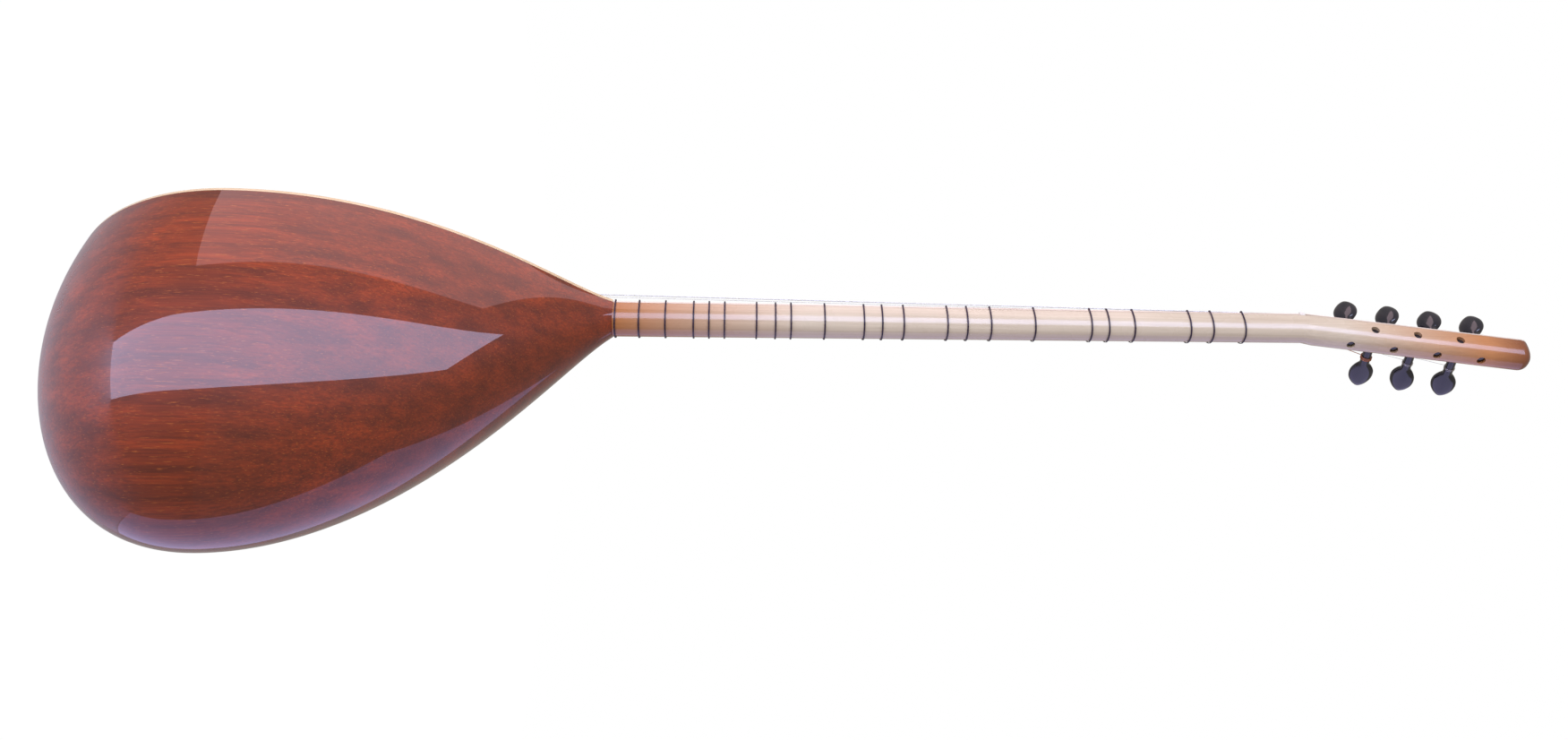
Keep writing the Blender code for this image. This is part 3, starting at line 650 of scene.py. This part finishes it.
def head_stops():
    """Distances along the head, close together where its tip is rounded off."""
    stops = [HEAD_BLEND]
    for k in range(TIP_STEPS + 1):
        angle = math.pi / 2 * TIP_TURN * k / TIP_STEPS
        stops.append(HEAD_LENGTH - TIP_ROUND + TIP_ROUND * math.sin(angle))
    return stops


print("the neck is", round(2 * neck_half_width(JOINT_Z), 4), "wide at the bowl")

# %% Pegs' places
PEGS_FROM = {"front": 0.0449, "side": 0.0656}
PEG_SPACING = {"front": 0.0395, "side": 0.0387}
PEG_LEAN = math.radians(5.5)
PEG_TIP_RECESS = 0.003
PEG_RADII = (0.0034, 0.0043)
PEG_EXPOSED = 0.012
BORE_SEGMENTS = 40
PEG_HEAD = (0.0315, 0.0106, 0.0046)
PEG_HEAD_FORM = (
    (0.10, 0.44, 0.97),
    (0.21, 0.73, 0.98),
    (0.36, 0.95, 1.00),
    (0.54, 1.00, 0.98),
    (0.72, 0.88, 0.91),
    (0.87, 0.60, 0.78),
    (0.965, 0.28, 0.48),
    (1.00, 0.07, 0.13),
)
PEG_TURNS = {"front": (-30.0, -34.0, -28.0, -36.0), "side": (8.0, 30.0, 24.0)}


def peg_axis(kind, number):
    """Where the tip's end of a peg's axis leaves the head, and the way to the peg's head."""
    along = PEGS_FROM[kind] + PEG_SPACING[kind] * number
    if kind == "front":
        start, way = head_point(0, HEAD_THICKNESS, along), -HEAD_BACKWARD
    else:
        start, way = head_point(HEAD_WIDTH / 2, HEAD_THICKNESS / 2, along), -ACROSS
    return start, way * math.cos(PEG_LEAN) + HEAD_ALONG * math.sin(PEG_LEAN)


def wood_passed(kind):
    return (HEAD_THICKNESS if kind == "front" else HEAD_WIDTH) / math.cos(PEG_LEAN)


def peg_radius(kind, distance):
    share = distance / (wood_passed(kind) + PEG_EXPOSED)
    return PEG_RADII[0] + (PEG_RADII[1] - PEG_RADII[0]) * share


def bore(kind, number):
    """A tapered cutter for one peg's bore."""
    start, way = peg_axis(kind, number)
    ends = (-PEG_EXPOSED, 0.0, wood_passed(kind) + PEG_EXPOSED)
    radii = [peg_radius(kind, max(end, 0.0)) + GAP for end in ends]
    stops = [(end, radius, radius) for end, radius in zip(ends, radii)]
    return loft(f"bore_{kind}_{number}", turned(start, way, stops, BORE_SEGMENTS, way.orthogonal()))


print("wood round each peg:", {kind: round(wood_passed(kind), 4) for kind in PEG_SPACING})

# %% Neck and head
def neck_ring(z):
    return half_ring(neck_half_width(z), neck_depth(z), NECK_FRONT_Y, z, NECK_ROUNDNESS, NECK_SEGMENTS)


def make_neck():
    """Tenon, neck, bend and head in one skin, bored for the pegs."""
    rings = [
        half_ring(TENON_WIDTH / 2, RIM_Y + TENON_DEPTH, RIM_Y, z, TENON_SQUARENESS, NECK_SEGMENTS)
        for z in (JOINT_Z - TENON_LENGTH, JOINT_Z)
    ]
    rings += [neck_ring(JOINT_Z * (1 - k / NECK_STATIONS)) for k in range(NECK_STATIONS)]
    bend = neck_ring(0)
    for point in bend:
        point.z = -point.y * math.tan(HEAD_TILT / 2)
    rings.append(bend)
    for along in head_stops():
        inset = head_inset(along)
        half, deep = HEAD_WIDTH / 2 - inset, HEAD_THICKNESS - inset
        flat = half_ring(half, deep, HEAD_FRONT_Y, 0, HEAD_ROUNDNESS, NECK_SEGMENTS)
        rings.append([head_point(p.x, p.y, along) for p in flat])
    cutters = [bore(kind, k) for kind, turns in PEG_TURNS.items() for k in range(len(turns))]
    made = carve(loft("neck_and_head", rings), cutters)
    return finish(made, NECK_WOOD, "neck_wood", "root", "neck")


neck = make_neck()
print("neck faces:", len(neck.data.polygons))


# %% [markdown]
# The pegs
#
# A tapered shaft swells into a flat, drop-shaped head. The head's form is given at a few stations, as
# shares of its length, width and thickness, and a smooth curve through them gives the rings between, so
# the gloss runs without a break.

# %% Pegs
PEG_SEGMENTS = 48
PEG_HEAD_STEPS = 6
PEG_TIP_CENTRE = 0.0004
PEG_TIP_CHAMFER = 0.0005


def smooth_through(points, steps):
    """A Catmull-Rom curve through rows of numbers."""
    found = []
    rows = [points[0]] + list(points) + [points[-1]]
    for a, b, c, d in zip(rows, rows[1:], rows[2:], rows[3:]):
        for k in range(steps):
            t = k / steps
            weights = (-t + 2 * t**2 - t**3, 2 - 5 * t**2 + 3 * t**3, t + 4 * t**2 - 3 * t**3, t**3 - t**2)
            found.append(tuple(
                sum(weight * value for weight, value in zip(weights, values)) / 2
                for values in zip(a, b, c, d)
            ))
    return found + [tuple(points[-1])]


def make_peg(kind, number, turn):
    start, way = peg_axis(kind, number)
    shaft = wood_passed(kind) + PEG_EXPOSED
    neck_radius = peg_radius(kind, shaft)
    length, half_width, half_thickness = PEG_HEAD
    stops = [(PEG_TIP_RECESS, PEG_TIP_CENTRE, PEG_TIP_CENTRE)]
    for onward, inward in ((0.0, PEG_TIP_CHAMFER), (PEG_TIP_CHAMFER, 0.0)):
        at = PEG_TIP_RECESS + onward
        radius = peg_radius(kind, at) - inward
        stops.append((at, radius, radius))
    stops += [(d, peg_radius(kind, d), peg_radius(kind, d)) for d in (0.4 * shaft, 0.8 * shaft)]
    form = [(shaft, neck_radius, neck_radius)]
    for share, wide, thick in PEG_HEAD_FORM:
        form.append((shaft + share * length, wide * half_width, thick * half_thickness))
    stops += smooth_through(form, PEG_HEAD_STEPS)
    flat_way = (HEAD_ALONG - way * HEAD_ALONG.dot(way)).normalized()
    flat_way = Matrix.Rotation(math.radians(turn), 3, way) @ flat_way
    body = f"{kind}_peg_{number + 1}"
    made = loft(f"{body}_black", turned(start, way, stops, PEG_SEGMENTS, flat_way))
    return finish(made, PEG_BLACK, "peg_black", body, body)


for kind, turns in PEG_TURNS.items():
    for number, turn in enumerate(turns):
        make_peg(kind, number, turn)
print("pegs:", sum(len(turns) for turns in PEG_TURNS.values()))

# %% [markdown]
# Cord from a path
#
# Frets and strings are round line along a path, so one Geometry Nodes tree makes them all. Its inputs are
# the line's radius, the number of sides and the material. It sweeps a circle along the object's own curve,
# and ends in Realize Instances and Set Material, so that what comes out is plain mesh.

# %% The cord tree
def cord_tree():
    tree = bpy.data.node_groups.new("round line along a path", "GeometryNodeTree")
    face = tree.interface
    face.new_socket("Geometry", in_out="INPUT", socket_type="NodeSocketGeometry")
    face.new_socket("Radius", in_out="INPUT", socket_type="NodeSocketFloat")
    face.new_socket("Sides", in_out="INPUT", socket_type="NodeSocketInt")
    face.new_socket("Material", in_out="INPUT", socket_type="NodeSocketMaterial")
    face.new_socket("Geometry", in_out="OUTPUT", socket_type="NodeSocketGeometry")
    enter, leave = node(tree, "NodeGroupInput"), node(tree, "NodeGroupOutput")
    profile = node(tree, "GeometryNodeCurvePrimitiveCircle")
    link(tree, enter.outputs["Sides"], profile.inputs["Resolution"])
    link(tree, enter.outputs["Radius"], profile.inputs["Radius"])
    sweep = node(tree, "GeometryNodeCurveToMesh")
    sweep.inputs["Fill Caps"].default_value = True
    link(tree, enter.outputs["Geometry"], sweep.inputs["Curve"])
    link(tree, profile.outputs["Curve"], sweep.inputs["Profile Curve"])
    swelling = node(tree, "GeometryNodeInputRadius")
    link(tree, swelling.outputs["Radius"], sweep.inputs["Scale"])
    real = node(tree, "GeometryNodeRealizeInstances")
    paint = node(tree, "GeometryNodeSetMaterial")
    link(tree, sweep.outputs["Mesh"], real.inputs["Geometry"])
    link(tree, real.outputs["Geometry"], paint.inputs["Geometry"])
    link(tree, enter.outputs["Material"], paint.inputs["Material"])
    link(tree, paint.outputs["Geometry"], leave.inputs["Geometry"])
    return tree


CORD = cord_tree()
print("the cord tree has", len(CORD.nodes), "nodes")


# %% Line along its runs
ROUND_LINE_ANGLE = 60


def cord(name, runs, radius, sides, material, slot, body, replaced):
    """Round line along one or more runs. A run is (points, swells, closed)."""
    curve = bpy.data.curves.new(name, "CURVE")
    curve.dimensions = "3D"
    for points, swells, closed in runs:
        spline = curve.splines.new("POLY")
        spline.points.add(len(points) - 1)
        for number, point in enumerate(points):
            spline.points[number].co = (*point, 1)
            spline.points[number].radius = swells.get(number, 1.0)
        spline.use_cyclic_u = closed
    made = bpy.data.objects.new(name, curve)
    bpy.context.scene.collection.objects.link(made)
    step = made.modifiers.new("line", "NODES")
    step.node_group = CORD
    for item in CORD.interface.items_tree:
        if item.item_type == "SOCKET" and item.in_out == "INPUT":
            value = {"Radius": radius, "Sides": sides, "Material": material}.get(item.name)
            if value is not None:
                step[item.identifier] = value
    bpy.context.view_layer.update()
    return finish(freeze(made, ROUND_LINE_ANGLE), material, slot, body, replaced)


# %% [markdown]
# The frets
#
# Each fret is nylon line wound twice round the neck and knotted at the side. The pitches follow the
# instrument's own scale, in cents above the open string, and give each fret its place.

# %% Frets
FRET_CENTS = (
    102, 157, 197, 300, 349, 383, 498, 593, 646, 692, 797, 851,
    898, 1004, 1100, 1146, 1204, 1306, 1358, 1411, 1512, 1612, 1708,
)
FRET_DIAMETER = 0.0012
STRAND = FRET_DIAMETER * 0.62
STRAND_SIDES = 10
FRET_SEGMENTS = 40
CORNER_STEPS = 6
KNOT_OUT = 0.0006
KNOT_BACK = 0.0002
KNOT_TURNS = 3
KNOT_POINTS = 20
KNOT_RADIUS = FRET_DIAMETER * 0.40


def fret_place(cents):
    return -SCALE_LENGTH * (1 - 2 ** (-cents / 1200))


def fret_loop(z, lie):
    """One turn round neck and fingerboard, lying at lie beside the fret's middle."""
    stand = GAP + FRET_DIAMETER / 2
    half, depth = neck_half_width(z), neck_depth(z)
    place = z + lie
    back = half_ring(half + stand, depth + stand, NECK_FRONT_Y, place, NECK_ROUNDNESS, FRET_SEGMENTS)
    front = []
    for side, first in ((-1, math.pi), (1, 1.5 * math.pi)):
        for k in range(CORNER_STEPS + 1):
            angle = first + math.pi / 2 * k / CORNER_STEPS
            x = side * half + stand * math.cos(angle)
            front.append(Vector((x, stand * math.sin(angle), place)))
    return back + front


def knot(z):
    """A small knot: three tight turns of line in a ball at the side of the neck."""
    centre = Vector((-neck_half_width(z) - GAP - FRET_DIAMETER / 2 - KNOT_OUT, KNOT_BACK, z))
    points = []
    count = KNOT_TURNS * KNOT_POINTS
    for k in range(count + 1):
        turn, tilt = 2 * math.pi * k / KNOT_POINTS, math.pi * k / count
        level = math.cos(turn)
        way = Vector((level * math.cos(tilt), math.sin(turn), level * math.sin(tilt)))
        points.append(centre + way * KNOT_RADIUS)
    return points


for number, cents in enumerate(FRET_CENTS):
    z = fret_place(cents)
    name = f"fret_{number + 1:02d}"
    turns = [(fret_loop(z, lie), {}, True) for lie in (-STRAND / 2, STRAND / 2)]
    runs = turns + [(knot(z), {}, False)]
    cord(name + "_line", runs, STRAND / 2, STRAND_SIDES, NYLON, "fret_nylon", name, name)
print("frets:", len(FRET_CENTS))

# %% [markdown]
# The strings
#
# Seven strings in three courses run from the ball behind the holder over the bridge and the nut to
# their pegs, and wind three times round the shaft. The turns are worked out from the peg's axis. The
# ball is a swelling of the line's own radius, so it needs no piece of its own.

# %% String sizes
STRING_GAUGES = (0.0007, 0.0003, 0.0003, 0.0004, 0.0004, 0.00035, 0.0008)
COURSE_OF_STRING = (0, 0, 0, 1, 1, 2, 2)
NUT_THICKNESS = 0.0045
NUT_RISE = 0.0022
BRIDGE_HEIGHT = 0.0090
HOLDER_RISE = 0.0025
HOLDER_THICKNESS = 0.0060
NOTCH_DEPTH = 0.0006
BALL_RADIUS = 0.0012
BALL_DROP = 0.0095
BALL_STEPS = 12
THINNEST_SWELL = 0.6
BEND_STEPS = 5
STRING_SIDES = 12
EDGE_ROOM = 0.0006
EDGE_CROSSING_SHARE = 0.30
WINDING_TURNS = 3
WINDING_POINTS = 40
WINDING_GAP = 0.0006
WINDING_FROM_HEAD = {"front": 0.0062, "side": 0.0100}
HOLDER_BACK_Z = TAIL_Z - 2 * GAP - HOLDER_THICKNESS


def spaced(centres, spacing):
    """The place of each string across the instrument, course by course."""
    places = []
    for string, course in enumerate(COURSE_OF_STRING):
        mates = [s for s, c in enumerate(COURSE_OF_STRING) if c == course]
        places.append(centres[course] + spacing * (mates.index(string) - (len(mates) - 1) / 2))
    return places


NUT_PLACES = spaced((-0.0084, 0.0, 0.0087), 0.0018)
BRIDGE_PLACES = spaced((-0.0190, 0.0, 0.0200), 0.0030)
HOLDER_PLACES = [0.0050 * (k - 3) for k in range(7)]
STRING_ENDS = (
    ("side", 0, -HEAD_BACKWARD), ("side", 1, -HEAD_BACKWARD), ("side", 2, -HEAD_BACKWARD),
    ("front", 1, -ACROSS), ("front", 0, ACROSS), ("front", 2, ACROSS), ("front", 3, ACROSS),
)
print("strings cross the bridge at", [round(x, 4) for x in BRIDGE_PLACES])


# %% Strings
def string_y(top, gauge):
    return top + NOTCH_DEPTH - GAP - gauge / 2


def winding(kind, number, arrive, gauge):
    """A helix round a peg's shaft, working in towards the head."""
    start, way = peg_axis(kind, number)
    first = wood_passed(kind) + WINDING_FROM_HEAD[kind]
    radius = peg_radius(kind, first) + GAP + gauge / 2
    out = (arrive - way * arrive.dot(way)).normalized()
    onward = way.cross(out)
    if onward.dot(HEAD_ALONG) < 0:
        onward = -onward
    centre = start + way * first
    points = [centre + out * radius - onward * (2 * gauge)]
    for k in range(WINDING_TURNS * WINDING_POINTS + 1):
        angle = 2 * math.pi * k / WINDING_POINTS
        around = out * math.cos(angle) + onward * math.sin(angle)
        points.append(centre - way * ((gauge + WINDING_GAP) * k / WINDING_POINTS) + around * radius)
    return points + [points[-1] + onward * gauge]


def string_path(number):
    """The points of one string, and how much thicker than the string its ball is at the first of them."""
    gauge = STRING_GAUGES[number]
    kind, peg, arrive = STRING_ENDS[number]
    x, ball = HOLDER_PLACES[number], BALL_RADIUS
    behind = HOLDER_BACK_Z - GAP - ball
    top = string_y(-HOLDER_RISE, gauge)
    points, swells = [], {}
    for k in range(BALL_STEPS + 1):
        angle = math.pi * k / BALL_STEPS
        swells[k] = max(2 * ball / gauge * math.sin(angle), THINNEST_SWELL)
        points.append(Vector((x, BALL_DROP - ball * (1 - math.cos(angle)), behind)))
    points += [Vector((x, BALL_DROP - 3 * ball, behind)), Vector((x, top + ball, behind))]
    for k in range(1, BEND_STEPS + 1):
        angle = math.pi / 2 * k / BEND_STEPS
        y, z = top + ball * (1 - math.sin(angle)), behind + ball * (1 - math.cos(angle))
        points.append(Vector((x, y, z)))
    points += [
        Vector((x, top, TAIL_Z)),
        Vector((BRIDGE_PLACES[number], string_y(-BRIDGE_HEIGHT, gauge), -SCALE_LENGTH)),
        Vector((NUT_PLACES[number], string_y(-NUT_RISE, gauge), NUT_THICKNESS / 2 + GAP)),
    ]
    turns = winding(kind, peg, arrive, gauge)
    if kind == "side":
        lift = GAP + gauge / 2 + EDGE_ROOM
        points.append(head_point(-HEAD_WIDTH / 2 - lift, -lift, turns[0].z * EDGE_CROSSING_SHARE))
    if arrive == -ACROSS:
        start, way = peg_axis(kind, peg - 1)
        height = wood_passed(kind) + WINDING_FROM_HEAD[kind]
        reach = PEG_RADII[1] + max(STRING_GAUGES) + gauge / 2 + 2 * GAP
        points.append(start + way * height + arrive * reach)
    return points + turns, swells


for number, gauge in enumerate(STRING_GAUGES):
    points, swells = string_path(number)
    material, slot = (COPPER, "copper") if number == 0 else (STEEL, "steel")
    name = f"string_{number + 1}"
    cord(f"{name}_wire", [(points, swells, False)], gauge / 2, STRING_SIDES, material, slot, "root", name)
print("strings:", len(STRING_GAUGES))

# %% [markdown]
# What stays as the maker cut it
#
# Fingerboard, head facing, nut, bridge, string holder and braces have flat faces and true edges, so the
# frame's own solids stay, and only take a finish.

# %% Finishes on the solids that stay
STAYING = {
    "fingerboard": OVERLAY, "head_facing": OVERLAY, "nut": BONE, "bridge": DARK_WOOD,
    "string_holder": DARK_WOOD, "brace_upper": BOARD_WOOD, "brace_lower": BOARD_WOOD,
}
for name, material in STAYING.items():
    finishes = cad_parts[name].data.materials
    finishes.clear()
    finishes.append(material)
print("solids that stay:", len(STAYING))

# %% [markdown]
# Camera and light
#
# The camera stands behind the instrument and to one side, turned so that the neck lies across the
# picture. Its place and its turn were fitted to the frets, the nut and the bowl. A long soft lamp
# draws the pale band along bowl and neck, a second one from the picture's top lights the upper flank, a
# wide one from below gives the lower rim its violet edge, and a dim warm room fills the rest. The eye
# sees a white room, but the lacquer mirrors only a little of it, or the dark wood would look milky.

# %% Camera
CAMERA_PLACE = Vector((0.70597, 0.86012, -0.54035))
PICTURE_RIGHT = Vector((0.03717, 0.02217, 0.99906))
PICTURE_UP = Vector((0.74273, -0.66947, -0.01278))
SENSOR_WIDTH, PICTURE_WIDTH, FOCAL_PIXELS = 36.0, 1751, 1314.4
NEAREST_SEEN = 0.01

lens = bpy.data.cameras.new("camera")
lens.sensor_width = SENSOR_WIDTH
lens.sensor_fit = "HORIZONTAL"
lens.lens = FOCAL_PIXELS * SENSOR_WIDTH / PICTURE_WIDTH
lens.clip_start = NEAREST_SEEN
camera = bpy.data.objects.new("camera", lens)
bpy.context.scene.collection.objects.link(camera)
right = PICTURE_RIGHT.normalized()
back = right.cross(PICTURE_UP).normalized()
turn = Matrix((right, back.cross(right), back)).transposed().to_4x4()
camera.matrix_world = Matrix.Translation(CAMERA_PLACE) @ turn
bpy.context.scene.camera = camera
print("lens:", round(lens.lens, 2), "mm")

# %% Lamps
MIDDLE = Vector((0, 0.10, -0.80))


def lamp(name, way, far, size, glow, colour):
    """A lamp of an even glow, which the middle of the bowl sees in the direction way."""
    data = bpy.data.lights.new(name, "AREA")
    data.shape = "RECTANGLE"
    data.size, data.size_y = size
    data.energy = glow * math.pi * size[0] * size[1]
    data.color = colour
    made = bpy.data.objects.new(name, data)
    bpy.context.scene.collection.objects.link(made)
    back = Vector(way).normalized()
    side = back.cross(Vector((0, 0, 1))).normalized()
    turn = Matrix((back.cross(side), side, back)).transposed().to_4x4()
    made.matrix_world = Matrix.Translation(MIDDLE + back * far) @ turn


lamp("long_band", (1.0, 0.05, 0.0), 1.25, (3.6, 0.66), 6.0, (0.60, 0.66, 1.0))
lamp("top_soft", (0.70, -0.66, 0.10), 1.4, (1.9, 0.80), 1.5, (1.0, 0.72, 0.80))
lamp("low_soft", (-0.84, 0.52, 0.05), 1.4, (3.4, 1.9), 1.2, (0.50, 0.47, 1.0))
print("lamps:", len(bpy.data.lights))

# %% Room
GLOSS_SHARE = 0.06
ROOM_COLOUR = (1.0, 0.93, 0.85)
ROOM_STRENGTH = 0.36


def white_for_eye(tree, output):
    """Show plain white to the camera, a share of it to reflections, and the room's own light to the rest."""
    path = node(tree, "ShaderNodeLightPath")
    direct = node(tree, "ShaderNodeMath", operation="MAXIMUM")
    link(tree, path.outputs["Is Camera Ray"], direct.inputs[0])
    link(tree, path.outputs["Is Transmission Ray"], direct.inputs[1])
    seen = node(tree, "ShaderNodeMath", operation="MAXIMUM")
    link(tree, direct.outputs[0], seen.inputs[0])
    link(tree, times(tree, path.outputs["Is Glossy Ray"], GLOSS_SHARE), seen.inputs[1])
    soft, white = node(tree, "ShaderNodeBackground"), node(tree, "ShaderNodeBackground")
    soft.inputs["Color"].default_value = (*ROOM_COLOUR, 1)
    soft.inputs["Strength"].default_value = ROOM_STRENGTH
    white.inputs["Color"].default_value = (1, 1, 1, 1)
    mix = node(tree, "ShaderNodeMixShader")
    link(tree, seen.outputs[0], mix.inputs[0])
    link(tree, soft.outputs[0], mix.inputs[1])
    link(tree, white.outputs[0], mix.inputs[2])
    link(tree, mix.outputs[0], output.inputs["Surface"])


world = bpy.data.worlds.new("room")
bpy.context.scene.world = world
world.use_nodes = True
world.node_tree.nodes.clear()
white_for_eye(world.node_tree, node(world.node_tree, "ShaderNodeOutputWorld"))
print("the room lights at", ROOM_STRENGTH)

# %% Floor
FLOOR_BELOW = 1.30
FLOOR_REACH = 9.0
FLOOR_WHITE_SHARE = 0.97
floor_z = TAIL_Z - FLOOR_BELOW
floor_mesh = bpy.data.meshes.new("floor")
corners = [(x * FLOOR_REACH, y * FLOOR_REACH, floor_z) for x, y in ((-1, -1), (1, -1), (1, 1), (-1, 1))]
floor_mesh.from_pydata(corners, [], [(0, 1, 2, 3)])
floor = bpy.data.objects.new("floor", floor_mesh)
bpy.context.scene.collection.objects.link(floor)


def floor_paint():
    """White for the eye, with a small share of plain paint that takes the instrument's shade."""
    made, tree, shader, _ = begin("white floor", 0.9)
    shader.inputs["Base Color"].default_value = (0.92, 0.92, 0.92, 1)
    path = node(tree, "ShaderNodeLightPath")
    glow = node(tree, "ShaderNodeEmission")
    glow.inputs["Strength"].default_value = 1 / FLOOR_WHITE_SHARE
    mix = node(tree, "ShaderNodeMixShader")
    part_seen = times(tree, path.outputs["Is Camera Ray"], FLOOR_WHITE_SHARE)
    link(tree, part_seen, mix.inputs[0])
    link(tree, shader.outputs[0], mix.inputs[1])
    link(tree, glow.outputs[0], mix.inputs[2])
    link(tree, mix.outputs[0], tree.nodes["Material Output"].inputs["Surface"])
    return made


floor_mesh.materials.append(floor_paint())

bpy.context.scene.view_settings.view_transform = "Standard"
print("the floor lies", FLOOR_BELOW, "below the tail")
